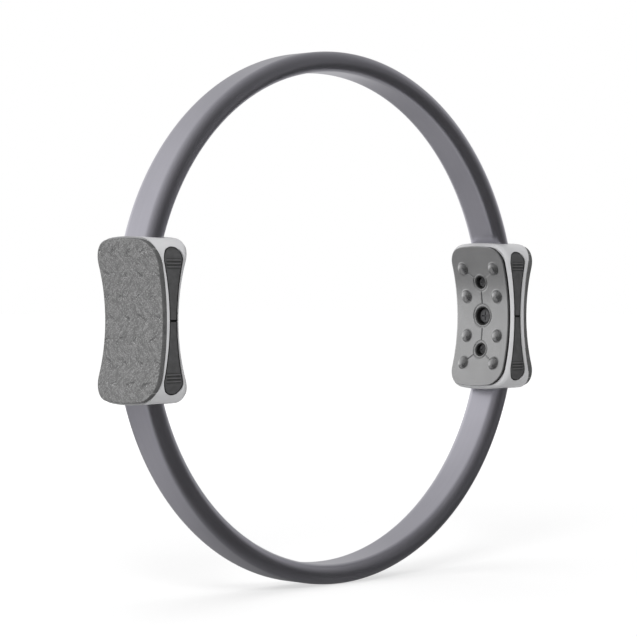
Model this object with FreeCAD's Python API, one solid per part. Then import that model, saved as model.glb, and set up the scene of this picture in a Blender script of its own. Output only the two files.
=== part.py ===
import FreeCAD, Part
import collections
import math
import os

# A pilates ring: a springy hoop held upright, with two padded handles on its left and right.
# The origin is the centre of the hoop. X runs through both handles, Y is the hoop's axis, Z is up.
# Lengths are in millimetres. Each handle piece is modelled on the right handle, at +X.
# In a handle, "inner" faces the hoop's centre and "outer" faces away from it.

# Hoop: a foam sleeve over a fibreglass strip, above and below the handles
hoop_outer_diameter = 360.0
sleeve_thickness = 13.6
sleeve_width = 29.9
sleeve_corner_radius = 6.3
strip_thickness = 2.4
strip_width = 22.0
strip_depth = 4.6
strip_slot_clearance = 0.1

# Handle housing: two moulded shells that meet on a plane and clamp the ends of the hoop
handle_height = 106.0
handle_width = 56.0
handle_arch = 3.0
handle_corner_radius = 14.0
waist_thickness = 16.0
inner_dish_radius = 122.0
outer_dish_radius = 142.0
rim_radius = 4.5
shell_wall = 2.2
rib_width = 2.4
socket_clearance = 0.25
shell_fit_clearance = 0.15

# Ends of the hoop inside a handle: insertions are shares of the handle's half height
sleeve_insertion_share = 0.189
strip_insertion_share = 0.453
strip_end_rise = 3.44

# Peg that locks a strip between the shells, part of the way from the strip's end to the sleeve's
peg_diameter = 5.0
peg_depth = 4.8
peg_place_share = 0.571

# Core-outs in the two mating faces, beside the strip
core_strip_margin = 2.5
core_side_margin = 6.0
core_end_margin = 7.0

# Outer pad: foam sheet glued to the dished outer face
outer_pad_thickness = 4.0
outer_pad_mid_overhang = 0.1
outer_pad_end_overhang = 2.0
outer_pad_end_margin = 1.2
outer_pad_corner_radius = 15.0
outer_pad_edge_radius = 1.2

# Massage pad: moulded rubber, let into the dished inner face and standing a little proud of it
massage_pad_thickness = 2.6
massage_pad_mid_margin = 3.4
massage_pad_side_margin = 2.9
massage_pad_end_margin = 2.2
massage_pad_corner_radius = 11.0
massage_pad_edge_radius = 0.8
massage_pad_rise = 1.0
massage_pad_gap = 0.8
nub_diameter = 10.0
nub_rise = 3.4
nub_root_radius = 1.2
nub_spread_share = 0.59
nub_height_shares = (0.27, 0.64)
line_width = 0.7
line_depth = 0.5
line_ring_margin = 1.5

# Grip inlays: ribbed rubber strips let into the two side faces
inlay_shift = -2.0
inlay_mid_width = 6.3
inlay_end_radius = 7.9
inlay_end_margin = 6.5
inlay_thickness = 1.6
inlay_sink = 0.6
inlay_gap = 0.5
inlay_rib_radius = 0.6
inlay_rib_pitch = 2.1
inlay_rib_margin = 10.7
inlay_rib_length = 12.0
inlay_rib_count = 3
inlay_mark_width = 1.2
inlay_mark_depth = 0.9

# Screws in the wells of the massage pad, each in a black liner cup
end_well_share = 0.46
end_well_diameter = 9.4
centre_well_diameter = 13.4
well_depth = 3.0
liner_wall = 0.8
liner_floor = 0.8
liner_lip_sink = 0.4
liner_clearance = 0.1
end_screw_diameter = 3.9
end_screw_head = 7.0
end_screw_head_height = 2.0
end_screw_reach = 4.4
centre_screw_diameter = 5.0
centre_screw_head = 10.4
centre_screw_head_height = 2.4
centre_screw_reach = 3.6
head_edge_radius = 0.7
drive_slot_width = 1.0
drive_slot_depth = 1.1
screw_clearance = 0.05
drive_slot_share = 0.62

# Square nut for the centre screw, under the outer pad
nut_width = 8.0
nut_thickness = 2.4
nut_clearance = 0.1

# Every cut runs this far past the solid it cuts
overrun = 5.0

# Worked out from the sizes above
hoop_outer_radius = hoop_outer_diameter / 2
hoop_inner_radius = hoop_outer_radius - sleeve_thickness
hoop_mean_radius = hoop_outer_radius - sleeve_thickness / 2
strip_inner_radius = hoop_inner_radius + strip_depth
strip_outer_radius = strip_inner_radius + strip_thickness
strip_mean_radius = strip_inner_radius + strip_thickness / 2
half_height = handle_height / 2
half_width = handle_width / 2
sleeve_end_z = half_height * (1 - sleeve_insertion_share)
strip_end_z = half_height * (1 - strip_insertion_share)
peg_z = strip_end_z + peg_place_share * (sleeve_end_z - strip_end_z)
handle_offset = math.sqrt(strip_mean_radius ** 2 - strip_end_z ** 2) - strip_end_rise
sleeve_end_angle = math.degrees(math.asin(sleeve_end_z / hoop_mean_radius))
strip_end_angle = math.degrees(math.asin(strip_end_z / strip_mean_radius))
inner_axis_x = handle_offset - waist_thickness / 2 - inner_dish_radius
outer_axis_x = handle_offset + waist_thickness / 2 + outer_dish_radius
seam_radius = outer_dish_radius + outer_pad_thickness
massage_face_radius = inner_dish_radius - massage_pad_rise
massage_back_radius = massage_face_radius + massage_pad_thickness
massage_mid_width = handle_width - 2 * massage_pad_mid_margin
nub_y = nub_spread_share * massage_mid_width / 2
nub_heights = [share * half_height for share in nub_height_shares]
inlay_length = handle_height - 2 * inlay_end_margin
side_reach = half_width + outer_pad_end_overhang + overrun

origin = FreeCAD.Vector(0, 0, 0)
x_axis = FreeCAD.Vector(1, 0, 0)
y_axis = FreeCAD.Vector(0, 1, 0)
z_axis = FreeCAD.Vector(0, 0, 1)
half_turn = 180.0


def arc_edge(start, middle, end):
    """Edge along the circle through three points."""
    return Part.Arc(start, middle, end).toShape()


def line_edge(start, end):
    """Straight edge between two points."""
    return Part.LineSegment(start, end).toShape()


def inner_face_x(z, sink):
    """X of the dished inner surface at height z, sunk by the given depth."""
    return inner_axis_x + math.sqrt((inner_dish_radius + sink) ** 2 - z ** 2)


def outer_face_x(z, sink):
    """X of the dished outer surface at height z, sunk by the given depth."""
    return outer_axis_x - math.sqrt((outer_dish_radius + sink) ** 2 - z ** 2)


# The handle blank runs this far either way along X before it is dished
blank_inner_x = inner_face_x(half_height, 0) - overrun
blank_outer_x = outer_face_x(half_height, 0) + overrun


def dish_cylinder(axis_x, radius):
    """Cylinder across the handle, about an axis parallel to Y."""
    return Part.makeCylinder(radius, 2 * side_reach, FreeCAD.Vector(axis_x, -side_reach, 0), y_axis)


def box_between(low, high):
    """Box from its lowest to its highest corner."""
    size = high - low
    return Part.makeBox(size.x, size.y, size.z, low)


def hoop_section(inner_radius, outer_radius, width, corner):
    """Section across the hoop at its right side: a rectangle with round corners."""
    half = width / 2
    corner_diagonal = corner * (1 - math.sqrt(0.5))
    quarters = ((1, 1), (-1, 1), (-1, -1), (1, -1))
    middle = (inner_radius + outer_radius) / 2
    reach = (outer_radius - inner_radius) / 2
    edges = []
    last = None
    first = None
    for radial, across in quarters:
        side_point = FreeCAD.Vector(middle + radial * reach, across * (half - corner), 0)
        face_point = FreeCAD.Vector(middle + radial * (reach - corner), across * half, 0)
        turn_x = middle + radial * (reach - corner_diagonal)
        turn = FreeCAD.Vector(turn_x, across * (half - corner_diagonal), 0)
        start, end = (side_point, face_point) if radial == across else (face_point, side_point)
        if last is None:
            first = start
        else:
            edges.append(line_edge(last, start))
        edges.append(arc_edge(start, turn, end))
        last = end
    edges.append(line_edge(last, first))
    return Part.Face(Part.Wire(edges))


def flat_section(inner_radius, outer_radius, width):
    """Rectangular section across the hoop at its right side."""
    half = width / 2
    corners = (
        FreeCAD.Vector(inner_radius, -half, 0),
        FreeCAD.Vector(outer_radius, -half, 0),
        FreeCAD.Vector(outer_radius, half, 0),
        FreeCAD.Vector(inner_radius, half, 0),
    )
    return Part.Face(Part.makePolygon(corners + corners[:1]))


def sweep_round(section, start_angle, end_angle):
    """Section carried round the hoop's axis, between two angles above the right handle."""
    start = section.copy()
    start.rotate(origin, -y_axis, start_angle)
    return start.revolve(origin, -y_axis, end_angle - start_angle)


def panel_prism(mid_width, end_width, height, corner, low_x, high_x):
    """Plate seen along X: sides drawn in at the middle, arched ends and round corners."""
    middle = mid_width / 2
    side = end_width / 2
    top = height / 2
    shoulder = top - handle_arch
    corners = [
        FreeCAD.Vector(low_x, side, -shoulder),
        FreeCAD.Vector(low_x, side, shoulder),
        FreeCAD.Vector(low_x, -side, shoulder),
        FreeCAD.Vector(low_x, -side, -shoulder),
    ]
    waists = [FreeCAD.Vector(low_x, middle, 0), FreeCAD.Vector(low_x, -middle, 0)]
    crowns = [FreeCAD.Vector(low_x, 0, top), FreeCAD.Vector(low_x, 0, -top)]
    edges = []
    for number in range(2):
        start = corners[2 * number]
        turn = corners[2 * number + 1]
        end = corners[(2 * number + 2) % len(corners)]
        straight = mid_width == end_width
        edges.append(line_edge(start, turn) if straight else arc_edge(start, waists[number], turn))
        edges.append(arc_edge(turn, crowns[number], end))
    prism = Part.Face(Part.Wire(edges)).extrude(x_axis * (high_x - low_x))
    long_edges = [edge for edge in prism.Edges if abs(edge.tangentAt(edge.FirstParameter).x) > 0.5]
    return prism.makeFillet(corner, long_edges)


def waisted_face(mid_width, end_radius, length, y):
    """Outline on a side face: two round ends joined by tangent arcs that draw in at the middle."""
    middle = mid_width / 2
    top = length / 2
    end_z = top - end_radius
    side_radius = (middle ** 2 + end_z ** 2 - end_radius ** 2) / (2 * (end_radius - middle))
    reach_share = end_radius / (side_radius + end_radius)
    join_x = reach_share * (middle + side_radius)
    join_z = end_z - reach_share * end_z
    centre_x = handle_offset + inlay_shift

    def at(x, z):
        return FreeCAD.Vector(centre_x + x, y, z)

    edges = [
        arc_edge(at(join_x, -join_z), at(middle, 0), at(join_x, join_z)),
        arc_edge(at(join_x, join_z), at(0, top), at(-join_x, join_z)),
        arc_edge(at(-join_x, join_z), at(-middle, 0), at(-join_x, -join_z)),
        arc_edge(at(-join_x, -join_z), at(0, -top), at(join_x, -join_z)),
    ]
    return Part.Face(Part.Wire(edges))


def peg_hole(z, diameter):
    """Cylinder along X through a peg's place, for cutting."""
    low = FreeCAD.Vector(blank_inner_x, 0, z)
    return Part.makeCylinder(diameter / 2, blank_outer_x - blank_inner_x, low, x_axis)


def sleeve():
    """Foam sleeve of the upper half of the hoop, with a slot for the strip."""
    skin = hoop_section(hoop_inner_radius, hoop_outer_radius, sleeve_width, sleeve_corner_radius)
    slot = flat_section(
        strip_inner_radius - strip_slot_clearance,
        strip_outer_radius + strip_slot_clearance,
        strip_width + 2 * strip_slot_clearance,
    )
    return sweep_round(skin.cut(slot).Faces[0], sleeve_end_angle, half_turn - sleeve_end_angle)


def strip():
    """Fibreglass strip of the upper half of the hoop, with a peg hole near each end."""
    section = flat_section(strip_inner_radius, strip_outer_radius, strip_width)
    band = sweep_round(section, strip_end_angle, half_turn - strip_end_angle)
    hole = peg_hole(peg_z, peg_diameter + 2 * shell_fit_clearance)
    far_hole = hole.copy()
    far_hole.rotate(origin, z_axis, half_turn)
    return band.cut(hole.fuse(far_hole))


def both_ends(shape):
    """A shape at the handle's upper end, and its copy at the lower end."""
    lower = shape.copy()
    lower.rotate(origin, x_axis, half_turn)
    return shape.fuse(lower)


def hoop_sockets():
    """Room in the shells for the ends of the sleeves and strips."""
    mouth_angle = math.degrees(math.asin((half_height + overrun) / hoop_mean_radius))
    stop_angle = sleeve_end_angle - math.degrees(socket_clearance / hoop_mean_radius)
    socket = hoop_section(
        hoop_inner_radius - socket_clearance,
        hoop_outer_radius + socket_clearance,
        sleeve_width + 2 * socket_clearance,
        sleeve_corner_radius + socket_clearance,
    )
    channel = flat_section(
        strip_inner_radius - shell_fit_clearance,
        strip_outer_radius + shell_fit_clearance,
        strip_width + 2 * shell_fit_clearance,
    )
    channel_angle = strip_end_angle - math.degrees(shell_fit_clearance / strip_mean_radius)
    tunnel = sweep_round(channel, channel_angle, mouth_angle)
    return both_ends(sweep_round(socket, stop_angle, mouth_angle).fuse(tunnel))


def strip_lands(clearance):
    """Lands between the parting plane and the inner face of each strip."""
    half = strip_width / 2 - clearance
    low = FreeCAD.Vector(handle_offset - clearance, -half, strip_end_z + clearance)
    high = FreeCAD.Vector(strip_outer_radius, half, sleeve_end_z)
    under_strip = dish_cylinder(0, strip_inner_radius - shell_fit_clearance)
    return both_ends(box_between(low, high).common(under_strip))


def core_outs(low_x, high_x):
    """Blocks that hollow out a mating face on both sides of the strips, with ribs between."""
    core_height = sleeve_end_z - core_end_margin
    heights = (rib_width / 2, core_height / 2 + rib_width / 2)
    cell = core_height / 2 - rib_width
    strip_side = strip_width / 2 + core_strip_margin
    outer_side = half_width - core_side_margin
    blocks = []
    for side in (-1, 1):
        for end in (-1, 1):
            for start in heights:
                near, far = sorted((side * strip_side, side * outer_side))
                bottom, top = sorted((end * start, end * (start + cell)))
                low = FreeCAD.Vector(low_x, near, bottom)
                blocks.append(box_between(low, FreeCAD.Vector(high_x, far, top)))
    return Part.makeCompound(blocks)


def inlay_recesses():
    """Cuts in both side faces that take the grip inlays."""
    depth = inlay_thickness + inlay_sink
    outline = waisted_face(
        inlay_mid_width + 2 * inlay_gap,
        inlay_end_radius + inlay_gap,
        inlay_length + 2 * inlay_gap,
        half_width - depth,
    )
    recess = outline.extrude(y_axis * (depth + overrun))
    other = recess.copy()
    other.rotate(origin, x_axis, half_turn)
    return recess.fuse(other)


def is_dish(face, axis_x, radius):
    """Whether a face lies on the given dish cylinder."""
    surface = face.Surface
    if not isinstance(surface, Part.Cylinder):
        return False
    return math.isclose(surface.Radius, radius) and math.isclose(surface.Center.x, axis_x)


def housing_blank():
    """Both shells in one: the handle's outline, dished on its inner and outer faces."""
    corner = handle_corner_radius
    prism = panel_prism(handle_width, handle_width, handle_height, corner, blank_inner_x, blank_outer_x)
    dished = prism.cut(dish_cylinder(inner_axis_x, inner_dish_radius))
    dished = dished.cut(dish_cylinder(outer_axis_x, seam_radius))
    faces = [face for face in dished.Faces if is_dish(face, inner_axis_x, inner_dish_radius)]
    rim = dished.makeFillet(rim_radius, faces[0].Edges)
    return rim.cut(inlay_recesses())


# One well of the massage pad: its height and diameter, and the sizes of the screw in it
Well = collections.namedtuple("Well", "z diameter screw head head_height reach")
end_screw_sizes = (end_screw_diameter, end_screw_head, end_screw_head_height, end_screw_reach)
end_wells = [
    Well(end * end_well_share * half_height, end_well_diameter, *end_screw_sizes) for end in (-1, 1)
]
centre_well = Well(
    0,
    centre_well_diameter,
    centre_screw_diameter,
    centre_screw_head,
    centre_screw_head_height,
    centre_screw_reach,
)
wells = end_wells + [centre_well]


def along_x(diameter, low_x, high_x, z):
    """Cylinder along X at height z."""
    return Part.makeCylinder(diameter / 2, high_x - low_x, FreeCAD.Vector(low_x, 0, z), x_axis)


def head_top_x(z):
    """X of the top of the screw head in the well at height z."""
    return inner_face_x(z, -massage_pad_rise) + well_depth


def massage_outline(gap):
    """Prism round the massage pad, with a gap all round."""
    return panel_prism(
        massage_mid_width + 2 * gap,
        handle_width - 2 * massage_pad_side_margin + 2 * gap,
        handle_height - 2 * massage_pad_end_margin + 2 * gap,
        massage_pad_corner_radius + gap,
        blank_inner_x,
        handle_offset,
    )


def inner_shell(blank):
    """Inner half of the housing, with the massage pad's recess, the wells and the locking pegs."""
    low = FreeCAD.Vector(blank_inner_x, -side_reach, -half_height - overrun)
    high = FreeCAD.Vector(handle_offset, side_reach, half_height + overrun)
    shell = blank.common(box_between(low, high)).cut(hoop_sockets())
    recess = massage_outline(massage_pad_gap)
    shell = shell.cut(recess.common(dish_cylinder(inner_axis_x, massage_back_radius)))
    hollow = core_outs(blank_inner_x, handle_offset + overrun)
    shell = shell.cut(hollow.cut(dish_cylinder(inner_axis_x, massage_back_radius + shell_wall)))
    for well in wells:
        floor_x = head_top_x(well.z) + well.head_height + liner_floor
        shell = shell.cut(along_x(well.diameter + 2 * liner_clearance, blank_inner_x, floor_x, well.z))
        bore = well.screw + 2 * screw_clearance
        shell = shell.cut(along_x(bore, blank_inner_x, handle_offset + overrun, well.z))
    peg = along_x(peg_diameter, handle_offset - shell_wall, handle_offset + peg_depth, peg_z)
    lands = strip_lands(shell_fit_clearance)
    return shell.fuse([lands, both_ends(peg)]).removeSplitter()


def outer_shell(blank):
    """Outer half of the housing, with the strip channels, peg sockets and the nut's pocket."""
    low = FreeCAD.Vector(handle_offset, -side_reach, -half_height - overrun)
    high = FreeCAD.Vector(blank_outer_x, side_reach, half_height + overrun)
    shell = blank.common(box_between(low, high)).cut(hoop_sockets()).cut(strip_lands(0))
    hollow = core_outs(handle_offset - overrun, blank_outer_x)
    shell = shell.cut(hollow.cut(dish_cylinder(outer_axis_x, seam_radius + shell_wall)))
    for well in wells:
        bore = well.screw + 2 * screw_clearance
        end_x = handle_offset + well.reach + shell_fit_clearance
        shell = shell.cut(along_x(bore, handle_offset - overrun, end_x, well.z))
    socket_end = handle_offset + peg_depth + shell_fit_clearance
    socket = peg_diameter + 2 * shell_fit_clearance
    shell = shell.cut(both_ends(along_x(socket, handle_offset - overrun, socket_end, peg_z)))
    half = nut_width / 2 + nut_clearance
    pocket_x = handle_offset + centre_screw_reach - nut_thickness
    pocket_end = FreeCAD.Vector(blank_outer_x, half, half)
    return shell.cut(box_between(FreeCAD.Vector(pocket_x, -half, -half), pocket_end))


def outer_pad():
    """Foam pad on the outer face, with a rounded outer edge."""
    prism = panel_prism(
        handle_width + 2 * outer_pad_mid_overhang,
        handle_width + 2 * outer_pad_end_overhang,
        handle_height - 2 * outer_pad_end_margin,
        outer_pad_corner_radius,
        blank_inner_x,
        blank_outer_x,
    )
    sheet = prism.common(dish_cylinder(outer_axis_x, seam_radius))
    sheet = sheet.cut(dish_cylinder(outer_axis_x, outer_dish_radius))
    faces = [face for face in sheet.Faces if is_dish(face, outer_axis_x, outer_dish_radius)]
    return sheet.makeFillet(outer_pad_edge_radius, faces[0].Edges)


def pad_lines():
    """Thin cuts in the massage pad: a ring round each well, and lines from well to well and nub."""
    reach = blank_outer_x - blank_inner_x
    rings = []
    spokes = []
    for well in wells:
        ring_diameter = well.diameter + 2 * line_ring_margin
        ring = along_x(ring_diameter + line_width, blank_inner_x, blank_outer_x, well.z)
        rings.append(ring.cut(along_x(ring_diameter - line_width, blank_inner_x, blank_outer_x, well.z)))
    start = end_well_diameter / 2 + line_ring_margin
    for well in end_wells:
        targets = [(0, centre_well.z, centre_well_diameter / 2 + line_ring_margin)]
        nub_z = math.copysign(nub_heights[1], well.z)
        targets += [(side * nub_y, nub_z, nub_diameter / 2) for side in (-1, 1)]
        for y, z, stop in targets:
            run = math.hypot(y, z - well.z)
            low = FreeCAD.Vector(blank_inner_x, -line_width / 2, start)
            spoke = Part.makeBox(reach, line_width, run - start - stop, low)
            spoke.rotate(origin, x_axis, math.degrees(math.atan2(-y, z - well.z)))
            spoke.translate(z_axis * well.z)
            spokes.append(spoke)
    cut = Part.makeCompound(rings + spokes)
    return cut.common(dish_cylinder(inner_axis_x, massage_face_radius + line_depth))


def nub(y, z):
    """Round nub on the massage pad, standing square to its dished face."""
    base = nub_diameter / 2
    ball = (base ** 2 + nub_rise ** 2) / (2 * nub_rise)
    face = FreeCAD.Vector(inner_face_x(z, -massage_pad_rise), y, z)
    outward = FreeCAD.Vector(inner_axis_x - face.x, 0, -z)
    outward.normalize()
    sphere = Part.makeSphere(ball, face - outward * (ball - nub_rise))
    return sphere.common(dish_cylinder(inner_axis_x, massage_back_radius - massage_pad_thickness / 2))


def massage_pad():
    """Rubber pad on the inner face: a rounded edge, round nubs, wells and thin lines."""
    sheet = massage_outline(0).common(dish_cylinder(inner_axis_x, massage_back_radius))
    sheet = sheet.cut(dish_cylinder(inner_axis_x, massage_face_radius))
    faces = [face for face in sheet.Faces if is_dish(face, inner_axis_x, massage_face_radius)]
    sheet = sheet.makeFillet(massage_pad_edge_radius, faces[0].Edges)
    nubs = [
        nub(across * nub_y, up * height)
        for across in (-1, 1)
        for up in (-1, 1)
        for height in nub_heights
    ]
    pad = sheet.fuse(nubs)
    roots = []
    for face in pad.Faces:
        if isinstance(face.Surface, Part.Sphere):
            roots += [edge for edge in face.Edges if edge.Closed and edge.Length > nub_diameter]
    pad = pad.makeFillet(nub_root_radius, roots)
    for well in wells:
        pad = pad.cut(along_x(well.diameter + 2 * liner_clearance, blank_inner_x, handle_offset, well.z))
    return pad.cut(pad_lines())


def grip_inlay():
    """Inlay in the rear side face, with ribs at both ends and a mark across its middle."""
    face_y = half_width - inlay_sink
    outline = waisted_face(inlay_mid_width, inlay_end_radius, inlay_length, face_y - inlay_thickness)
    body = outline.extrude(y_axis * inlay_thickness)
    centre_x = handle_offset + inlay_shift
    ribs = []
    for end in (-1, 1):
        for number in range(inlay_rib_count):
            step = number - (inlay_rib_count - 1) / 2
            z = end * (inlay_length / 2 - inlay_rib_margin + step * inlay_rib_pitch)
            start = FreeCAD.Vector(centre_x - inlay_rib_length / 2, face_y, z)
            bar = Part.makeCylinder(inlay_rib_radius, inlay_rib_length, start, x_axis)
            ribs.append(bar)
    low = FreeCAD.Vector(centre_x - inlay_end_radius, face_y - inlay_mark_depth, -inlay_mark_width / 2)
    high = FreeCAD.Vector(centre_x + inlay_end_radius, face_y + overrun, inlay_mark_width / 2)
    return body.fuse(ribs).cut(box_between(low, high))


def screw(well):
    """Pan head screw along X, with a cross slot."""
    top_x = head_top_x(well.z)
    neck_x = top_x + well.head_height
    cap = along_x(well.head, top_x, neck_x, well.z)
    rim = [edge for edge in cap.Edges if edge.Closed and math.isclose(edge.CenterOfMass.x, top_x)]
    cap = cap.makeFillet(head_edge_radius, rim)
    body = cap.fuse(along_x(well.screw, neck_x, handle_offset + well.reach, well.z))
    half_slot = drive_slot_width / 2
    half_run = drive_slot_share * well.head / 2
    for across, up in ((half_slot, half_run), (half_run, half_slot)):
        low = FreeCAD.Vector(top_x - overrun, -across, well.z - up)
        high = FreeCAD.Vector(top_x + drive_slot_depth, across, well.z + up)
        body = body.cut(box_between(low, high))
    return body


def liner(well):
    """Black cup that lines a well, with the screw head inside it."""
    floor_x = head_top_x(well.z) + well.head_height
    cup = along_x(well.diameter, blank_inner_x, floor_x + liner_floor, well.z)
    cup = cup.cut(dish_cylinder(inner_axis_x, massage_face_radius + liner_lip_sink))
    cup = cup.cut(along_x(well.diameter - 2 * liner_wall, blank_inner_x, floor_x, well.z))
    return cup.cut(along_x(well.screw + 2 * screw_clearance, blank_inner_x, handle_offset, well.z))


def centre_nut():
    """Square nut in its pocket under the outer pad."""
    half = nut_width / 2
    end_x = handle_offset + centre_screw_reach
    block = box_between(
        FreeCAD.Vector(end_x - nut_thickness, -half, -half),
        FreeCAD.Vector(end_x, half, half),
    )
    bore = centre_screw_diameter + 2 * screw_clearance
    return block.cut(along_x(bore, handle_offset, end_x + overrun, 0))


def turned(shape, axis):
    """Copy of a shape turned half round an axis through the hoop's centre."""
    copy = shape.copy()
    copy.rotate(origin, axis, half_turn)
    return copy


def handle_pieces():
    """Pieces of the right handle by name."""
    blank = housing_blank()
    rear = grip_inlay()
    return {
        "inner_shell": inner_shell(blank),
        "outer_shell": outer_shell(blank),
        "outer_pad": outer_pad(),
        "massage_pad": massage_pad(),
        "rear_inlay": rear,
        "front_inlay": turned(rear, x_axis),
        "end_screws": Part.makeCompound([screw(well) for well in end_wells]),
        "centre_screw": screw(centre_well),
        "centre_nut": centre_nut(),
        "well_liners": Part.makeCompound([liner(well) for well in wells]),
    }


# Turning a right handle piece half round Z puts its front at the left handle's rear
left_names = {"front_inlay": "rear_inlay", "rear_inlay": "front_inlay"}
nodes = {}
for name, shape in handle_pieces().items():
    nodes["right_" + name] = shape
    nodes["left_" + left_names.get(name, name)] = turned(shape, z_axis)
for name, shape in (("sleeve", sleeve()), ("strip", strip())):
    nodes["upper_" + name] = shape
    nodes["lower_" + name] = turned(shape, x_axis)

os.makedirs("parts", exist_ok=True)
for name, shape in sorted(nodes.items()):
    valid = "valid" if shape.isValid() else "not valid"
    print(name, len(shape.Solids), "solids", round(shape.Volume), "mm3", valid)
    shape.exportStep("parts/" + name + ".step")
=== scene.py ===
import math
import bmesh
import bpy
import numpy as np
from mathutils import Matrix, Vector


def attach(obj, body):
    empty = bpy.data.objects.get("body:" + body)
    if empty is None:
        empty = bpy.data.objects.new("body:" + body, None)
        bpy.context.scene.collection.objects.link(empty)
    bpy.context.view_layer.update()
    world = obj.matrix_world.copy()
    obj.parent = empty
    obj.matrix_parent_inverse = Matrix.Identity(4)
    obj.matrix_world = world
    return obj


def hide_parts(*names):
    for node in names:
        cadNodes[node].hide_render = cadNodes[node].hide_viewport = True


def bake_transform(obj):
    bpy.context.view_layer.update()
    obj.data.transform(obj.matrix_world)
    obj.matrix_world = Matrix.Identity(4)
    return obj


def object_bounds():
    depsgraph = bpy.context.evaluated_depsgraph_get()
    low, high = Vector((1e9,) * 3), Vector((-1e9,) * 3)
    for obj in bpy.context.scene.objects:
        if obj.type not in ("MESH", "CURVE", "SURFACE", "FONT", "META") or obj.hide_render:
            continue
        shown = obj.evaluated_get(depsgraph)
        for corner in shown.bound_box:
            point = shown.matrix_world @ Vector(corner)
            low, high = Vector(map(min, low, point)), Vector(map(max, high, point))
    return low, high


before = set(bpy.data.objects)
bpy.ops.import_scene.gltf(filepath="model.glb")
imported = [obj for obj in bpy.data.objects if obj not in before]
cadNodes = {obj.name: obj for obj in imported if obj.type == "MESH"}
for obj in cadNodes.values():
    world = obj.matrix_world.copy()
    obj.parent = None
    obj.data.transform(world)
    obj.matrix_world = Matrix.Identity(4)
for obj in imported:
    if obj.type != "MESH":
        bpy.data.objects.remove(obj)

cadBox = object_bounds()
leftBody, rightBody = "hoop_and_left_handle", "right_handle"
handles = (("left", leftBody, -1), ("right", rightBody, 1))  # name, body and side along X
mm = 0.001
print("frame loaded,", len(cadNodes), "nodes")


# Mesh tools

def linked(name, data):
    piece = bpy.data.objects.new(name, data)
    bpy.context.scene.collection.objects.link(piece)
    return piece


def mergeDoubles(mesh, distance, turnOut=False):
    # points closer than the distance become one, which closes seams, spines and poles
    work = bmesh.new()
    work.from_mesh(mesh)
    bmesh.ops.remove_doubles(work, verts=work.verts, dist=distance)
    if turnOut:
        bmesh.ops.recalc_face_normals(work, faces=work.faces)
    work.to_mesh(mesh)
    work.free()


def gridObject(name, points, closeRows=False, closeColumns=False):
    # every cell of the grid of points is one quad; a closed direction joins its last line to its first
    rows, columns = points.shape[:2]
    i = np.arange(rows if closeRows else rows - 1)[:, None]
    j = np.arange(columns if closeColumns else columns - 1)[None, :]
    nextI, nextJ = (i + 1) % rows, (j + 1) % columns
    quads = np.stack([i * columns + j, nextI * columns + j,
                      nextI * columns + nextJ, i * columns + nextJ], axis=-1)
    mesh = bpy.data.meshes.new(name)
    mesh.from_pydata((points.reshape(-1, 3) * mm).tolist(), [], quads.reshape(-1, 4).tolist())
    mergeDoubles(mesh, 2e-6, turnOut=True)
    mesh.shade_smooth()
    return linked(name, mesh)


def respace(loop, count):
    # a closed line of points, walked at even steps of its length
    closed = np.vstack([loop, loop[:1]])
    length = np.concatenate([[0], np.cumsum(np.linalg.norm(np.diff(closed, axis=0), axis=1))])
    steps = np.linspace(0, length[-1], count, endpoint=False)
    return np.stack([np.interp(steps, length, closed[:, k]) for k in range(closed.shape[1])], axis=-1)


def arcPoints(centre, radius, startAngle, endAngle, count=48):
    # centre plus radius times the cosine and sine of an even run of angles
    angle = np.linspace(startAngle, endAngle, count)
    return np.stack([centre[0] + radius * np.cos(angle), centre[1] + radius * np.sin(angle)], axis=-1)


def angleOf(point, centre):
    # angle of the line from the centre to the point
    return math.atan2(point[1] - centre[1], point[0] - centre[0])


def roundedSection(halfThick, halfWide, corner, count):
    # a rectangle whose corners are quarter circles, in even steps
    quarterTurn = math.pi / 2
    arcs = [arcPoints((a * (halfThick - corner), b * (halfWide - corner)), corner,
                      k * quarterTurn, (k + 1) * quarterTurn)
            for k, (a, b) in enumerate([(1, 1), (-1, 1), (-1, -1), (1, -1)])]
    return respace(np.vstack(arcs), count)


def fourQuarters(quarter, count):
    # a quarter outline mirrored to all four, in even steps, so that points match across both axes
    upper = np.vstack([quarter, quarter[-2::-1] * [-1, 1]])
    return respace(np.vstack([upper, upper[-2:0:-1] * [1, -1]]), count)


def panelOutline(panel):
    # a quarter is a waist arc, a corner arc tangent to both its neighbours and an end arch
    mid, end, top = panel["midWidth"] / 2, panel["endWidth"] / 2, panel["height"] / 2
    corner, shoulder = panel["corner"], top - panel["arch"]
    waistRadius = ((end - mid) ** 2 + shoulder ** 2) / (2 * (end - mid))
    archRadius = (end ** 2 + panel["arch"] ** 2) / (2 * panel["arch"])
    waist, arch = np.array([mid + waistRadius, 0.0]), np.array([0.0, top - archRadius])
    reachA, reachB = waistRadius + corner, archRadius - corner
    between = arch - waist
    gap = np.linalg.norm(between)
    along = (reachA ** 2 - reachB ** 2 + gap ** 2) / (2 * gap)
    aside = math.sqrt(reachA ** 2 - along ** 2)
    unit = between / gap
    normal = np.array([-unit[1], unit[0]])
    centre = max((waist + along * unit + s * aside * normal for s in (-1, 1)), key=lambda p: p[1])
    onWaist = waist + (centre - waist) * waistRadius / reachA
    onArch = arch + (centre - arch) * archRadius / reachB
    quarter = np.vstack([
        arcPoints(waist, waistRadius, math.pi, angleOf(onWaist, waist)),
        arcPoints(centre, corner, angleOf(onWaist, centre), angleOf(onArch, centre))[1:],
        arcPoints(arch, archRadius, angleOf(onArch, arch), math.pi / 2)[1:]])
    return fourQuarters(quarter, panel["columns"])


# Shader tools

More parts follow.
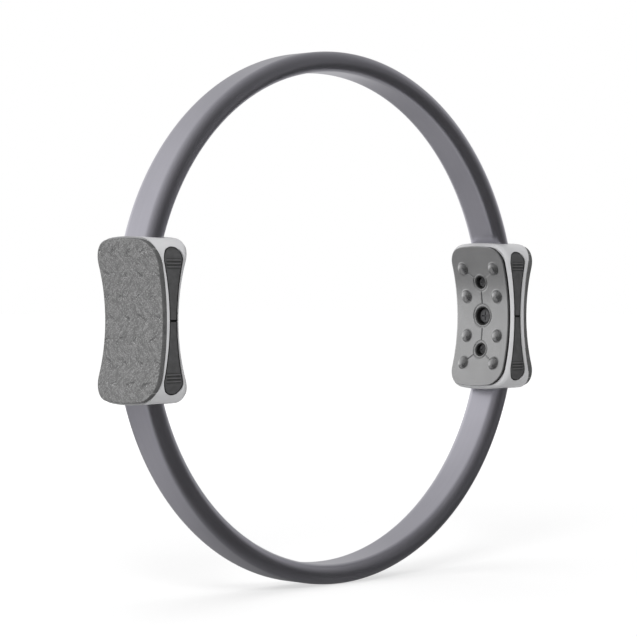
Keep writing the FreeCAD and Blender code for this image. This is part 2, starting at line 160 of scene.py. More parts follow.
class Value:
    # a socket whose arithmetic adds Math nodes
    def __init__(self, graph, socket):
        self.graph, self.socket = graph, socket

    def do(self, operation, *others):
        return self.graph.math(operation, self, *others)

    def __add__(self, other): return self.graph.math("ADD", self, other)
    def __radd__(self, other): return self.graph.math("ADD", other, self)
    def __sub__(self, other): return self.graph.math("SUBTRACT", self, other)
    def __rsub__(self, other): return self.graph.math("SUBTRACT", other, self)
    def __mul__(self, other): return self.graph.math("MULTIPLY", self, other)
    def __rmul__(self, other): return self.graph.math("MULTIPLY", other, self)
    def __truediv__(self, other): return self.graph.math("DIVIDE", self, other)
    def __rtruediv__(self, other): return self.graph.math("DIVIDE", other, self)


class Graph:
    def __init__(self, name, world=None):
        self.owner = world or bpy.data.materials.new(name)
        self.owner.use_nodes = True
        self.tree = self.owner.node_tree
        self.tree.nodes.clear()

    def node(self, kind, settings=None, sockets=None, output=0):
        made = self.tree.nodes.new(kind)
        for key, value in (settings or {}).items():
            setattr(made, key, value)
        for key, value in (sockets or {}).items():
            if isinstance(value, Value):
                self.tree.links.new(value.socket, made.inputs[key])
            elif hasattr(value, "__len__") and len(value) == 3 and made.inputs[key].type == "RGBA":
                made.inputs[key].default_value = (*value, 1)
            else:
                made.inputs[key].default_value = value
        return Value(self, made.outputs[output]) if made.outputs else made

    def math(self, operation, *values):
        return self.node("ShaderNodeMath", {"operation": operation}, dict(enumerate(values)))

    def place(self):
        return self.node("ShaderNodeTexCoord", output="Object")

    def parts(self, vector):
        split = self.node("ShaderNodeSeparateXYZ", sockets={"Vector": vector})
        return [Value(self, split.socket.node.outputs[k]) for k in range(3)]

    def joined(self, x, y, z):
        return self.node("ShaderNodeCombineXYZ", sockets={0: x, 1: y, 2: z})

    def noise(self, vector, scale, detail=2.0, rough=0.5):
        sockets = {"Vector": vector, "Scale": scale, "Detail": detail, "Roughness": rough}
        return self.node("ShaderNodeTexNoise", sockets=sockets, output="Fac")

    def step(self, value, low, high):
        return self.node("ShaderNodeMapRange", {"interpolation_type": "SMOOTHSTEP"},
                         {"Value": value, "From Min": low, "From Max": high})

    def within(self, value, marks):
        # 1 below the first of two millimetre marks, 0 above the second
        return 1 - self.step(value, marks[0] * mm, marks[1] * mm)

    def blend(self, factor, colourA, colourB):
        return self.node("ShaderNodeMix", {"data_type": "RGBA"}, {0: factor, 6: colourA, 7: colourB}, output=2)

    def bump(self, height, distance, strength=1.0):
        sockets = {"Height": height, "Distance": distance, "Strength": strength}
        return self.node("ShaderNodeBump", sockets=sockets)

    def shown(self, shader, kind="ShaderNodeOutputMaterial"):
        self.node(kind, sockets={"Surface": shader})
        return self.owner

    def shining(self, level):
        return self.shown(self.node("ShaderNodeEmission", sockets={"Color": level, "Strength": 1.0}))

    def surface(self, sockets):
        return self.shown(self.node("ShaderNodeBsdfPrincipled", sockets=sockets))


# Finishes

def grey(level, blue=0.0):
    return (level, level, level + blue)


hoopRadius = 0.17  # for patterns that run along the hoop
tones = {  # the darker and the lighter colour of each finish
    "sleeve": ((0.485, 0.477, 0.530), (0.525, 0.516, 0.572)),
    "strip": ((0.62, 0.60, 0.42), (0.80, 0.78, 0.62)),
    "shell": (grey(0.450, 0.009), grey(0.500, 0.009)),
    "foam": (grey(0.113), grey(0.190)),
    # the darker foam edge is painted shade on the pad's edge wall
    "foamEdgeShade": (grey(0.060), grey(0.095)),
    "massage": (grey(0.385, 0.003), grey(0.430, 0.003)),
    # the black edge band is painted shade of the gap round the massage pad
    "massageEdgeShade": (grey(0.010), grey(0.018)),
    "inlay": (grey(0.050, 0.001), grey(0.072, 0.002)),
    "screw": (grey(0.10, 0.005), grey(0.17, 0.005)),
    "nut": (grey(0.48, 0.01), grey(0.62, 0.01)),
    # the liners' black is painted shade in the wells
    "liner": (grey(0.008), grey(0.016)),
}


def hoopPlace(x, z):
    # metres along the hoop, and the distance from its axis
    return z.do("ARCTAN2", x) * hoopRadius, (x * x + z * z).do("SQRT")


def sleeveSkin():
    # satin coated foam: soft clouding, a faint drag along the hoop and very small pits
    g = Graph("sleeveSkin")
    at = g.place()
    x, y, z = g.parts(at)
    around, radius = hoopPlace(x, z)
    drag = g.noise(g.joined(around * 14, y * 420, radius * 420), 1.0, 3.0)
    cloud = g.noise(at, 22.0, 3.0)
    pits = g.noise(at, 1700.0)
    colour = g.blend(g.step(cloud * 0.6 + drag * 0.25 + pits * 0.15, 0.3, 0.7), *tones["sleeve"])
    return g.surface({"Base Color": colour, "Metallic": 0.97, "Roughness": 0.28 + drag * 0.03 + pits * 0.04,
                      "Normal": g.bump(pits * 0.8 + drag * 0.2, 0.00002, 0.35)})


def stripFibreglass():
    # pulled glass strands that run along the hoop in pale resin
    g = Graph("stripFibreglass")
    x, y, z = g.parts(g.place())
    around, radius = hoopPlace(x, z)
    strand = g.noise(g.joined(around * 30, y * 2500, radius * 2500), 1.0, 3.0)
    colour = g.blend(g.step(strand, 0.3, 0.7), *tones["strip"])
    return g.surface({"Base Color": colour, "Roughness": 0.3 + strand * 0.2,
                      "Normal": g.bump(strand, 0.00005, 0.5)})


def shellPlastic():
    # light grey moulding with a fine spark eroded grain
    g = Graph("shellPlastic")
    at = g.place()
    grain = g.noise(at, 2600.0)
    cloud = g.noise(at, 35.0, 3.0)
    colour = g.blend(g.step(cloud * 0.75 + grain * 0.25, 0.3, 0.7), *tones["shell"])
    return g.surface({"Base Color": colour, "Roughness": 0.42 + grain * 0.12,
                      "Normal": g.bump(grain, 0.00005, 0.5)})


def screwSteel(name, dark, light):
    # plated steel, spun finish with small specks
    g = Graph(name)
    at = g.place()
    x, y, z = g.parts(at)
    spun = g.noise(g.joined(x * 1400.0, y * 500.0, z * 500.0), 1.0, 3.0)
    speck = g.noise(at, 3000.0)
    colour = g.blend(g.step(spun * 0.6 + speck * 0.4, 0.3, 0.7), dark, light)
    return g.surface({"Base Color": colour, "Metallic": 0.7, "Roughness": 0.4 + spun * 0.15,
                      "Normal": g.bump(speck, 0.00003, 0.5)})


def linerPlastic():
    # matt black moulding, whose black is painted shade in the wells
    g = Graph("linerPlastic")
    grain = g.noise(g.place(), 2400.0)
    return g.surface({"Base Color": g.blend(grain, *tones["liner"]), "Roughness": 0.5 + grain * 0.15,
                      "Normal": g.bump(grain, 0.00005, 0.5)})


finishes = {
    "inner_shell": shellPlastic(),
    "end_screws": screwSteel("screwSteel", *tones["screw"]),
    "centre_nut": screwSteel("nutSteel", *tones["nut"]),
    "well_liners": linerPlastic(),
}
finishes.update({"outer_shell": finishes["inner_shell"], "centre_screw": finishes["end_screws"]})
for nodeName, node in cadNodes.items():
    finish = finishes.get(nodeName.split("_", 1)[1])
    if finish:
        node.data.materials.clear()
        node.data.materials.append(finish)
print("housing, screws and liners finished")


# Hoop: two foam sleeves with the spring strip inside

sleeve = {"outerRadius": 180.0, "thick": 13.6, "wide": 29.9, "corner": 6.3, "endAngle": 14.38,
          "slotRadius": 172.2, "slotThick": 2.6, "slotWide": 22.2, "slotCorner": 0.3,
          "lip": 1.0, "endInset": 0.06, "columns": 96, "rows": 300, "slotRows": 80}


def sleeveGrid(end):
    # the outer section runs round the hoop to one end, turns in through the slot and runs back,
    # a closed ring of sections; the end sections are drawn in towards their middle
    s = sleeve
    middle = s["outerRadius"] - s["thick"] / 2
    skin = roundedSection(s["thick"] / 2, s["wide"] / 2, s["corner"], s["columns"]) + [middle, 0]
    slot = roundedSection(s["slotThick"] / 2, s["slotWide"] / 2, s["slotCorner"], s["columns"])
    slot = slot + [s["slotRadius"], 0]
    first, last = math.radians(s["endAngle"]), math.radians(180 - s["endAngle"])
    lip = s["lip"] / middle
    skinRows = s["rows"] + 2
    angle = np.concatenate([[first], np.linspace(first + lip, last - lip, s["rows"]), [last],
                            np.linspace(last, first, s["slotRows"])])
    section = np.concatenate([np.repeat(skin[None], skinRows, 0), np.repeat(slot[None], s["slotRows"], 0)])
    centre = section.mean(axis=1, keepdims=True)
    isEnd = np.isin(angle, [first, last]) & (np.arange(len(angle)) < skinRows)
    section = centre + (section - centre) * (1 - s["endInset"] * isEnd)[:, None, None]
    radius, across = section[..., 0], section[..., 1]
    return np.stack([radius * np.cos(angle)[:, None], across, end * radius * np.sin(angle)[:, None]], axis=-1)


sleeveFinish, stripFinish = sleeveSkin(), stripFibreglass()
for side, end in (("upper", 1), ("lower", -1)):
    skinPiece = gridObject(side + "SleeveSkin", sleeveGrid(end), True, True)
    skinPiece.data.materials.append(sleeveFinish)
    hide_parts(side + "_sleeve")
    stripMesh = cadNodes[side + "_strip"].data.copy()
    mergeDoubles(stripMesh, 1e-6)
    stripMesh.materials.clear()
    stripMesh.materials.append(stripFinish)
    stripPiece = linked(side + "StripBand", stripMesh)
    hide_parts(side + "_strip")
    for piece in (skinPiece, stripPiece):
        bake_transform(piece)
print("hoop made")


# Handle pads

handle = {"offset": 166.3, "waist": 16.0, "innerDish": 122.0, "outerDish": 142.0, "massageRise": 1.0}
padRows = {"edge": 8, "wall": 5, "under": 7}


def padGrid(pad, relief):
    # rows run from the spine over the face, round the edge, down the wall and back to the spine underneath;
    # x is the dish, the square root of its radius squared less z squared
    outline = panelOutline(pad)
    spineHalf = pad["height"] / 2 - pad["midWidth"] / 2
    spine = np.stack([np.zeros(len(outline)), np.clip(outline[:, 1], -spineHalf, spineHalf)], axis=-1)
    inward = spine - outline
    reach = np.linalg.norm(inward, axis=1)
    inward = inward / reach[:, None]
    edge, thick, none = pad["edge"], pad["thick"], 0 * reach
    share = np.linspace(0, 1, pad["faceRows"])[:, None]
    turn = np.linspace(0, math.pi / 2, padRows["edge"] + 1)[1:, None]
    drop = np.linspace(edge, thick, padRows["wall"] + 1)[1:, None]
    under = np.linspace(0, 1, padRows["under"] + 1)[1:, None]
    inset = np.vstack([reach * (1 - share) + edge * share, none + edge * (1 - np.sin(turn)),
                       none + 0 * drop, reach * under])
    depth = np.vstack([none + 0 * share, none + edge * (1 - np.cos(turn)), none + drop,
                       none + thick + 0 * under])
    flat = outline[None] + inward[None] * inset[..., None]
    y, z = flat[..., 0], flat[..., 1]
    fade = np.clip(inset / pad["fade"], 0, 1) * (depth < 1e-6)
    depth = depth - relief(y, z) * fade * fade * (3 - 2 * fade)
    x = pad["axisX"] + pad["side"] * np.sqrt((pad["faceRadius"] + depth) ** 2 - z ** 2)
    return np.stack([x, y, z], axis=-1)


def markEdge(piece, pad, turnSign):
    # faces near the outline and deeper than the rounded edge take the edge finish, whose dark colour is painted
    # shade
    sideBand, endBand = 1.6, 7.0
    mesh = piece.data
    centre = np.empty(len(mesh.polygons) * 3)
    mesh.polygons.foreach_get("center", centre)
    x, y, z = centre.reshape(-1, 3).T / mm
    sunk = np.hypot(x * turnSign - pad["axisX"], z) - pad["faceRadius"]
    rim = (np.abs(y) > pad["midWidth"] / 2 - sideBand) | (np.abs(z) > pad["height"] / 2 - endBand)
    mesh.polygons.foreach_set("material_index", ((sunk > pad["edgeDepth"]) & rim).astype(np.int32))


def padPiece(name, pad, relief, turnSign, padFinishes):
    # half a turn about the upright axis takes the right handle's pad to the left
    piece = gridObject(name, padGrid(pad, relief) * [turnSign, turnSign, 1], closeColumns=True)
    for finish in padFinishes:
        piece.data.materials.append(finish)
    markEdge(piece, pad, turnSign)
    return piece


# Outer foam pad

outerPad = {"midWidth": 56.2, "endWidth": 60.0, "height": 103.6, "arch": 3.0, "corner": 15.0, "thick": 4.0,
            "edge": 1.5, "edgeDepth": 0.7, "fade": 6.0, "crown": 0.8, "uneven": 0.08, "columns": 420, "faceRows": 56,
            "side": -1, "faceRadius": handle["outerDish"],
            "axisX": handle["offset"] + handle["waist"] / 2 + handle["outerDish"]}
foamPattern = {"rowPitch": 13.8, "rowStart": 8.9, "rowWander": 0.30,
               "columnPitch": 15.2, "columnWander": 10.0, "stagger": 0.2,
               "slope": 0.5, "creaseReach": (1.6, 4.8), "creaseWide": (0.2, 1.1), "creaseShadeShare": 0.56,
               "besideShift": 1.6, "besideWide": (0.4, 3.0), "highlightFleckShare": 0.75,
               # the pale fleck tone paints highlights beside the creases as well as random flecks; the crease tone
               # paints shade in the creases
               "highlightFleckTone": grey(0.37), "creaseShadeTone": grey(0.048)}


def foamSwell(y, z):
    # a low crown across the pad, a parabola, with slow hand-pressed unevenness as a product of sines
    slow = np.sin(y * 0.21 + 1.3 * np.sin(z * 0.11)) * np.sin(z * 0.17 + 0.8)
    return outerPad["crown"] * (1 - (2 * y / outerPad["endWidth"]) ** 2) + outerPad["uneven"] * slow


def padFoam():
    # pressed foam: rows of short beaded creases that lean left and right by turns, over streaks
    # that lean with them; painted shade darkens the creases and painted highlight pales flecks beside them, over
    # random pale flecks
    p = foamPattern
    g = Graph("padFoam")
    at = g.place()
    x, y, z = g.parts(at)
    wander = g.noise(at, 90.0) - 0.5
    row = (z - p["rowStart"] * mm) / (p["rowPitch"] * mm) + wander * p["rowWander"]
    lean = 2 * (row * 0.5).do("FRACT").do("GREATER_THAN", 0.5) - 1
    above = (row * 0.5 - 0.25).do("FRACT").do("GREATER_THAN", 0.5)
    along = (row.do("FRACT") - 0.5) * (p["rowPitch"] * mm)
    column = (y + wander * (p["columnWander"] * mm)) / (p["columnPitch"] * mm) + lean * p["stagger"]
    across = (column.do("FRACT") - 0.5) * (p["columnPitch"] * mm)
    fromCrease = along - lean * across * p["slope"]
    reach = g.within(across.do("ABSOLUTE"), p["creaseReach"])
    bead = g.step(g.noise(at, 720.0), 0.38, 0.55)
    crease = g.within(fromCrease.do("ABSOLUTE"), p["creaseWide"]) * reach * bead
    beside = g.within((fromCrease + p["besideShift"] * mm).do("ABSOLUTE"), p["besideWide"]) * reach
    rising, falling = y + z, y - z
    streakUp = g.noise(g.joined(rising * 150.0, falling * 420.0, x * 300.0), 1.0, 3.0, 0.6)
    streakDown = g.noise(g.joined(falling * 150.0, rising * 420.0, x * 300.0), 1.0, 3.0, 0.6)
    streak = streakUp * above + streakDown * (1 - above)
    grain = g.noise(at, 1150.0)
    fleckAndHighlight = g.step(grain * 0.75 + streak * 0.25, 0.50, 0.60) * (0.32 + beside * 0.68)
    height = streak * 0.62 + grain * 0.42 + fleckAndHighlight * 0.38 - crease * 0.5
    colour = g.blend(g.step(streak * 0.52 + grain * 0.48, 0.39, 0.61), *tones["foam"])
    # painted highlight beside the creases, over random pale flecks
    colour = g.blend(fleckAndHighlight * p["highlightFleckShare"], colour, p["highlightFleckTone"])
    # painted shade in the creases
    colour = g.blend(crease * p["creaseShadeShare"], colour, p["creaseShadeTone"])
    return g.surface({"Base Color": colour, "Roughness": 0.62 + grain * 0.15,
                      "Normal": g.bump(height, 0.0014, 0.68)})


def foamEdgeShade():
    # the pad's cut edge: foam with fine open cells, darkened as painted shade on the edge wall
    g = Graph("foamEdgeShade")
    at = g.place()
    cell = g.noise(at, 1300.0, 3.0)
    cloud = g.noise(at, 150.0, 3.0)
    colour = g.blend(g.step(cell * 0.6 + cloud * 0.4, 0.35, 0.65), *tones["foamEdgeShade"])
    return g.surface({"Base Color": colour, "Roughness": 0.7 + cell * 0.12,
                      "Normal": g.bump(cell, 0.0002, 0.5)})


# Inner massage pad

massagePad = {"midWidth": 49.2, "endWidth": 49.6, "height": 101.2, "arch": 3.0, "corner": 12.5, "thick": 2.6,
              "edge": 0.8, "edgeDepth": 0.9, "fade": 1.2, "columns": 720, "faceRows": 96,
              "side": 1, "faceRadius": handle["innerDish"] - handle["massageRise"],
              "axisX": handle["offset"] - handle["waist"] / 2 - handle["innerDish"],
              "nubY": 14.5, "nubZ": (14.3, 33.9), "nubBase": 4.6, "nubRise": 3.4, "nubRoot": 1.0,
              "wells": ((-24.4, 4.8), (0.0, 6.8), (24.4, 4.8)), "wellRound": 0.6, "wellDrop": 0.5,
              "ringMargin": 1.5, "lineWide": 0.8, "lineDeep": 0.5, "lineStop": 0.4,
              "cutX": 162.0, "cutLength": 30.0, "cutSides": 96}


def segmentDistance(y, z, start, end):
    # distance to the nearest point of a straight run
    dy, dz = end[0] - start[0], end[1] - start[1]
    along = np.clip(((y - start[0]) * dy + (z - start[1]) * dz) / (dy * dy + dz * dz), 0, 1)
    return np.hypot(y - start[0] - along * dy, z - start[1] - along * dz)


def nubHeight(away):
    # a ball's cap over the middle, then a hollow arc tangent to the ball and to the pad
    base, rise, root = massagePad["nubBase"], massagePad["nubRise"], massagePad["nubRoot"]
    ball = (base ** 2 + rise ** 2) / (2 * rise)
    foot = math.sqrt((ball + root) ** 2 - (ball - rise + root) ** 2)
    cap = np.sqrt(np.clip(ball ** 2 - away ** 2, 0, None)) - ball + rise
    hollow = root - np.sqrt(np.clip(root ** 2 - (foot - away) ** 2, 0, None))
    return np.where(away < foot * ball / (ball + root), cap, np.where(away < foot, hollow, 0))


def massageRelief(y, z):
    # nubs, less a round shoulder at each well and bell-shaped grooves, which ring the wells, join them
    # and run from the small ones to the outer nubs
    pad = massagePad
    midRadius, (endZ, endRadius) = pad["wells"][1][1], pad["wells"][2]
    midRing, endRing = midRadius + pad["ringMargin"], endRadius + pad["ringMargin"]
    height = 0 * y
    for nubY, nubZ in [(a * pad["nubY"], b * c) for a in (-1, 1) for b in (-1, 1) for c in pad["nubZ"]]:
        height = height + nubHeight(np.hypot(y - nubY, z - nubZ))
    line = np.full_like(y, 1e3)
    for wellZ, radius in pad["wells"]:
        away = np.hypot(y, z - wellZ)
        line = np.minimum(line, np.abs(away - radius - pad["ringMargin"]))
        height = height - pad["wellDrop"] * np.clip(1 - (away - radius) / pad["wellRound"], 0, 1) ** 2
    for end in (-1, 1):
        wellZ = end * endZ
        line = np.minimum(line, segmentDistance(y, z, (0, wellZ - end * endRing), (0, end * midRing)))
        for side in (-1, 1):
            toward = np.array([side * pad["nubY"], end * pad["nubZ"][1] - wellZ])
            unit = toward / np.linalg.norm(toward)
            stop = np.linalg.norm(toward) - pad["nubBase"] - pad["lineStop"]
            line = np.minimum(line, segmentDistance(y, z, (unit[0] * endRing, wellZ + unit[1] * endRing),
                                                    (unit[0] * stop, wellZ + unit[1] * stop)))
    return height - pad["lineDeep"] * np.exp(-(line / (pad["lineWide"] * 0.5)) ** 2)


def cutWells(piece, turnSign):
    # round holes for the liners, cut by a boolean and kept in the mesh; slivers at the rims are merged away
    pad, sliver = massagePad, 2e-5
    cutters = bmesh.new()
    for wellZ, radius in pad["wells"]:
        ring = bmesh.ops.create_cone(cutters, cap_ends=True, segments=pad["cutSides"], radius1=radius * mm,
                                     radius2=radius * mm, depth=pad["cutLength"] * mm)
        bmesh.ops.rotate(cutters, verts=ring["verts"], matrix=Matrix.Rotation(math.pi / 2, 3, "Y"))
        bmesh.ops.translate(cutters, verts=ring["verts"], vec=(turnSign * pad["cutX"] * mm, 0, wellZ * mm))
    mesh = bpy.data.meshes.new("wellCutters")
    cutters.to_mesh(mesh)
    cutters.free()
    tool = linked("wellCutters", mesh)
    cut = piece.modifiers.new("wells", "BOOLEAN")
    cut.operation, cut.object, cut.solver = "DIFFERENCE", tool, "EXACT"
    bpy.context.view_layer.update()
    result = bpy.data.meshes.new_from_object(piece.evaluated_get(bpy.context.evaluated_depsgraph_get()))
    piece.modifiers.clear()
    piece.data = result
    bpy.data.objects.remove(tool)
    work = bmesh.new()
    work.from_mesh(result)
    bmesh.ops.remove_doubles(work, verts=work.verts, dist=sliver)
    bmesh.ops.dissolve_degenerate(work, edges=work.edges, dist=sliver)
    bmesh.ops.triangulate(work, faces=[face for face in work.faces if len(face.verts) > 4])
    work.to_mesh(result)
    work.free()
    result.shade_smooth()
    result.set_sharp_from_angle(angle=math.radians(50))


def massageRubber():
    # satin coated rubber with a fine even grain
    g = Graph("massageRubber")
    at = g.place()
    grain = g.noise(at, 1900.0)
    cloud = g.noise(at, 60.0, 3.0)
    colour = g.blend(g.step(cloud * 0.6 + grain * 0.4, 0.3, 0.7), *tones["massage"])
    return g.surface({"Base Color": colour, "Metallic": 0.92, "Roughness": 0.22 + grain * 0.06,
                      "Normal": g.bump(grain, 0.00003, 0.3)})


def edgeShadeRubber():
    # the same rubber in black along the pad's edge band: painted shade of the gap round the pad
    g = Graph("edgeShadeRubber")
    grain = g.noise(g.place(), 1900.0)
    return g.surface({"Base Color": g.blend(grain, *tones["massageEdgeShade"]), "Roughness": 0.6 + grain * 0.1,
                      "Normal": g.bump(grain, 0.00008, 0.5)})


foamFinishes, rubberFinishes = (padFoam(), foamEdgeShade()), (massageRubber(), edgeShadeRubber())
for side, body, turnSign in handles:
    foam = padPiece(side + "FoamPad", outerPad, foamSwell, turnSign, foamFinishes)
    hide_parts(side + "_outer_pad")
    rubber = padPiece(side + "NubPad", massagePad, massageRelief, turnSign, rubberFinishes)
    cutWells(rubber, turnSign)
    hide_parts(side + "_massage_pad")
    for piece in (foam, rubber):
        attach(piece, body)
print("handle pads made")


# Grip inlays

inlay = {"centreX": 164.3, "midWidth": 6.3, "endRadius": 7.9, "length": 93.0, "thick": 1.6, "sink": 0.6,
         "sideHalf": 28.0, "cornerRadius": 14.0, "cornerZ": 38.17, "recess": 2.2, "skin": 0.12,
         "ribZ": 35.8, "ribPitch": 2.1, "ribRadius": 0.6, "ribHalf": 6.0, "markHalf": 0.6, "markDeep": 0.9,
         "columns": 680, "faceRows": 18, "wallRows": 4, "underRows": 5}
# the border and rib colours are painted shadow, shade and highlight; the mark is a black seam
inlayPaintedLightAndSeam = {"ribZone": (3.2, 3.3), "ribEnds": (5.4, 6.2), "ribTop": (0.1, 0.4), "ribFoot": (0.5, 0.8),
             "border": (0.4, 1.1), "mark": (0.6, 0.8),
             "ribHighlight": grey(0.13, 0.002), "shadow": grey(0.016), "black": grey(0.006)}
inlayEndZ = inlay["length"] / 2 - inlay["endRadius"]
inlaySideRadius = ((inlay["midWidth"] / 2) ** 2 + inlayEndZ ** 2 - inlay["endRadius"] ** 2) / (
    2 * (inlay["endRadius"] - inlay["midWidth"] / 2))


def inlayOutline():
    # a quarter is a waist arc and the tangent arc of a round end
    mid, end = inlay["midWidth"] / 2, inlay["endRadius"]
    join = math.asin(inlayEndZ / (inlaySideRadius + end))
    quarter = np.vstack([arcPoints((mid + inlaySideRadius, 0), inlaySideRadius, math.pi, math.pi - join),
                         arcPoints((0, inlayEndZ), end, -join, math.pi / 2)[1:]])
    return fourQuarters(quarter, inlay["columns"])


def inlayGrid(turnSign, face):
    # rows run from the spine to the outline, down the wall and back; the face keeps its depth under the
    # housing's side, whose half width past the corner's start is a circle, and lies on the corner as a
    # thin skin where its recess ends; ribs are half rounds and the mark is a square groove
    outline = inlayOutline()
    faceRows, wallRows, underRows = inlay["faceRows"], inlay["wallRows"], inlay["underRows"]
    spine = np.stack([0 * outline[:, 0], np.clip(outline[:, 1], -inlayEndZ, inlayEndZ)], axis=-1)
    share = np.concatenate([np.linspace(0, 1, faceRows), np.ones(wallRows), np.linspace(1, 0, underRows + 1)[1:]])
    depth = np.concatenate([np.zeros(faceRows), np.linspace(0, 1, wallRows + 1)[1:], np.ones(underRows)])
    depth = depth[:, None] * inlay["thick"]
    across, z = np.moveaxis(spine + (outline - spine) * share[:, None, None], -1, 0)
    corner, past = inlay["cornerRadius"], np.clip(np.abs(z) - inlay["cornerZ"], 0, None)
    housing = inlay["sideHalf"] - corner + np.sqrt(corner ** 2 - past ** 2)
    floor = np.minimum(housing, inlay["sideHalf"] - inlay["recess"])
    level = np.maximum(housing - inlay["sink"], floor + inlay["skin"])
    ribs = inlay["ribZ"] + inlay["ribPitch"] * np.array([-1, 0, 1])
    fromRib = np.abs(np.abs(z)[..., None] - ribs).min(axis=-1)
    rib = np.sqrt(np.clip(inlay["ribRadius"] ** 2 - fromRib ** 2, 0, None)) * (np.abs(across) < inlay["ribHalf"])
    mark = inlay["markDeep"] * (np.abs(z) < inlay["markHalf"])
    y = level - depth + (rib - mark) * (depth == 0)
    return np.stack([turnSign * (inlay["centreX"] + across), face * y, z], axis=-1)


def inlayRubber():
    # charcoal grip rubber: painted highlight pales its ribs, painted shade darkens between them,
    # a painted shadow blackens its border, and the mark across its middle is black
    w = inlayPaintedLightAndSeam
    g = Graph("inlayRubber")
    at = g.place()
    x, y, z = g.parts(at)
    x, z = x.do("ABSOLUTE") - inlay["centreX"] * mm, z.do("ABSOLUTE")
    grain = g.noise(at, 2200.0)
    dust = g.noise(at, 300.0, 4.0)
    colour = g.blend(g.step(dust * 0.5 + grain * 0.5, 0.32, 0.7), *tones["inlay"])
    ribZ, pitch = inlay["ribZ"] * mm, inlay["ribPitch"] * mm
    fromRib = (((z - ribZ) / pitch + 0.5).do("FRACT") - 0.5).do("ABSOLUTE") * pitch
    ribbed = g.within((z - ribZ).do("ABSOLUTE"), w["ribZone"]) * g.within(x.do("ABSOLUTE"), w["ribEnds"])
    # painted highlight on the rib tops and painted shade at their feet
    colour = g.blend(g.within(fromRib, w["ribTop"]) * ribbed * 0.35, colour, w["ribHighlight"])
    colour = g.blend((1 - g.within(fromRib, w["ribFoot"])) * ribbed * 0.6, colour, w["shadow"])
    fromSide = inlay["midWidth"] / 2 * mm + z * z / (2 * inlaySideRadius * mm) - x.do("ABSOLUTE")
    pastEnd = (z - inlayEndZ * mm).do("MAXIMUM", 0.0)
    fromEnd = inlay["endRadius"] * mm - (x * x + pastEnd * pastEnd).do("SQRT")
    # painted shadow along the border; the mark across the middle is a black seam
    border = g.within(fromSide.do("MINIMUM", fromEnd), w["border"])
    colour = g.blend(border.do("MAXIMUM", g.within(z, w["mark"])), colour, w["black"])
    return g.surface({"Base Color": colour, "Roughness": 0.55 + grain * 0.15,
                      "Normal": g.bump(grain, 0.0001, 0.5)})


inlayFinish = inlayRubber()
for side, body, turnSign in handles:
    for faceName, face in (("front", -1), ("rear", 1)):
        grip = gridObject(side + faceName.capitalize() + "Grip", inlayGrid(turnSign, face), closeColumns=True)
        grip.data.set_sharp_from_angle(angle=math.radians(40))
        grip.data.materials.append(inlayFinish)
        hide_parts(side + "_" + faceName + "_inlay")
        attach(grip, body)
print("grip inlays made")


# Studio

studio = {"floorZ": cadBox[0][2] - 0.0002, "floorHalf": 12.0, "floorGlow": 0.63, "farGlow": 0.26,
          "glowFrom": (0.6, 3.0), "floorShade": grey(0.3), "floorBounce": grey(0.8), "worldLight": 0.45}
lamps = {"keyLamp": ((-1.45, -1.15, 1.2), 0.8, 34.0),  # place, size and power
         "topLamp": ((0.2, 0.3, 2.2), 1.6, 18.0),
         "fillLamp": ((-2.0, 0.8, 0.6), 1.6, 8.0),
         "rearLamp": ((1.5, 1.5, 1.1), 1.6, 24.0)}
tent = {"reach": 2.6, "floorLift": 0.0001,
        "lobes": ((1.18, 2.3, (-0.129, 0.982, -0.137)),  # level, tightness and middle
                  (0.50, 5.5, (0.976, 0.053, 0.210)),
                  (0.32, 1.6, (-0.644, 0.218, 0.734))),
        "floor": 0.06,
        "floorSteps": ((0.40, -0.05, 0.11), (-0.12, 0.12, 0.28), (0.55, 0.4, 0.9))}  # level, start and end
view = {"place": (-1.1428, -1.1473, 0.0222), "lens": 134.55, "sensor": 36.0, "shift": (-0.0168, -0.0008)}


def seen(g):
    # 1 for rays from the camera, from gloss and through glass, else 0
    path = g.node("ShaderNodeLightPath", output="Is Camera Ray")
    outputs = path.socket.node.outputs
    glossy, through = Value(g, outputs["Is Glossy Ray"]), Value(g, outputs["Is Transmission Ray"])
    return path.do("MAXIMUM", glossy).do("MAXIMUM", through)


def seenAs(g, unseen, shader):
    return g.node("ShaderNodeMixShader", sockets={0: seen(g), 1: unseen, 2: shader})


def stageObject(name, points, material, closeColumns=False):
    piece = gridObject(name, points / mm, closeColumns=closeColumns)
    piece.data.materials.append(material)
    return piece


def floorMaterial():
    # pale matt floor that is white to the eye: it glows a little more with distance, and near the ring
    # its shade shows
    g = Graph("paleFloor")
    x, y, z = g.parts(g.place())
    glow = studio["floorGlow"] + studio["farGlow"] * g.step((x * x + y * y).do("SQRT"), *studio["glowFrom"])
    bounce = g.node("ShaderNodeBsdfDiffuse", sockets={"Color": studio["floorBounce"]})
    shade = g.node("ShaderNodeBsdfDiffuse", sockets={"Color": studio["floorShade"]})
    shine = g.node("ShaderNodeEmission", sockets={"Color": glow, "Strength": 1.0})
    return g.shown(seenAs(g, bounce, g.node("ShaderNodeAddShader", sockets={0: shade, 1: shine})))


def tentMaterial():
    # each lobe gives its level times e to the power of its tightness times (cosine to its middle - 1)
    g = Graph("lightTent")
    unit = g.node("ShaderNodeVectorMath", {"operation": "NORMALIZE"}, {0: g.place()})
    glow = 0
    for level, tightness, toward in tent["lobes"]:
        cosine = g.node("ShaderNodeVectorMath", {"operation": "DOT_PRODUCT"}, {0: unit, 1: toward}, output="Value")
        glow = glow + level * ((cosine - 1) * tightness).do("EXPONENT")
    return g.shining(glow)


def tentFloor():
    # dark in front of the ring, paler behind it, in smooth steps along Y
    g = Graph("tentFloor")
    y = g.parts(g.place())[1]
    glow = tent["floor"]
    for level, low, high in tent["floorSteps"]:
        glow = glow + level * g.step(y, low, high)
    return g.shining(glow)


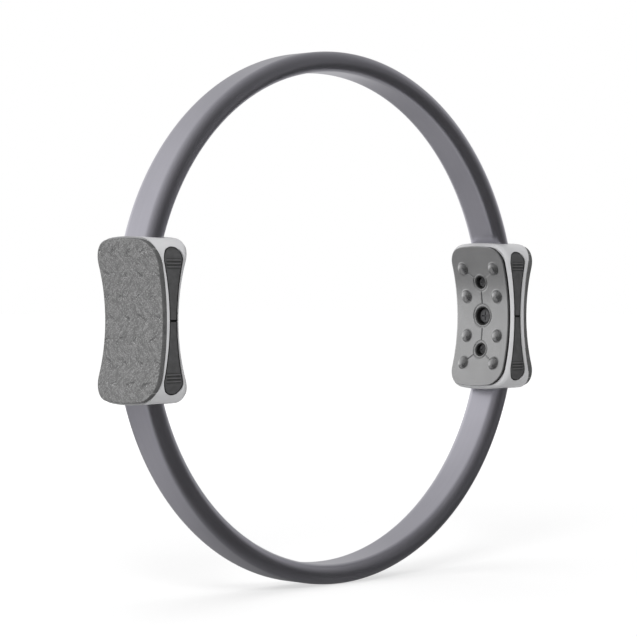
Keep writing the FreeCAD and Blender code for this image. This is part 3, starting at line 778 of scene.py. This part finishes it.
def tentGrid():
    # a dome: cosine and sine of the rise times the reach
    rise = np.radians(np.linspace(0, 90, 25))[:, None]
    turn = np.linspace(0, 2 * math.pi, 48, endpoint=False)[None, :]
    across, height = tent["reach"] * np.cos(rise), tent["reach"] * np.sin(rise)
    return np.stack([across * np.cos(turn), across * np.sin(turn), studio["floorZ"] + height + 0 * turn], axis=-1)


def squareGrid(half, z):
    # four corners of a level square
    x, y = np.meshgrid([-half, half], [-half, half], indexing="ij")
    return np.stack([x, y, 0 * x + z], axis=-1)


def aim(piece, place):
    # looks from its place at the middle of the hoop
    piece.location = place
    piece.rotation_euler = (-Vector(place)).to_track_quat("-Z", "Y").to_euler()


stageObject("floor", squareGrid(studio["floorHalf"], studio["floorZ"]), floorMaterial())
tentGround = squareGrid(tent["reach"], studio["floorZ"] + tent["floorLift"])
for piece in (stageObject("tentDome", tentGrid(), tentMaterial(), closeColumns=True),
              stageObject("tentFloor", tentGround, tentFloor())):
    for way in ("camera", "diffuse", "shadow", "transmission"):
        setattr(piece, "visible_" + way, False)  # the tent only shades what gloss mirrors

world = bpy.data.worlds.new("studioWorld")
bpy.context.scene.world = world
g = Graph("studioWorld", world)
soft = g.node("ShaderNodeBackground", sockets={"Color": grey(1), "Strength": studio["worldLight"]})
white = g.node("ShaderNodeBackground", sockets={"Color": grey(1), "Strength": 1.0})
g.shown(seenAs(g, soft, white), "ShaderNodeOutputWorld")

for name, (place, size, power) in lamps.items():
    lamp = bpy.data.lights.new(name, "AREA")
    lamp.shape, lamp.size, lamp.energy = "DISK", size, power
    lampPiece = linked(name, lamp)
    lampPiece.visible_glossy = False
    aim(lampPiece, place)

camera = bpy.data.cameras.new("camera")
camera.sensor_width, camera.lens = view["sensor"], view["lens"]
camera.shift_x, camera.shift_y = view["shift"]
camera.clip_end = 50.0
cameraPiece = linked("camera", camera)
aim(cameraPiece, view["place"])
bpy.context.scene.camera = cameraPiece
bpy.context.scene.view_settings.view_transform = "Standard"
print("studio made")
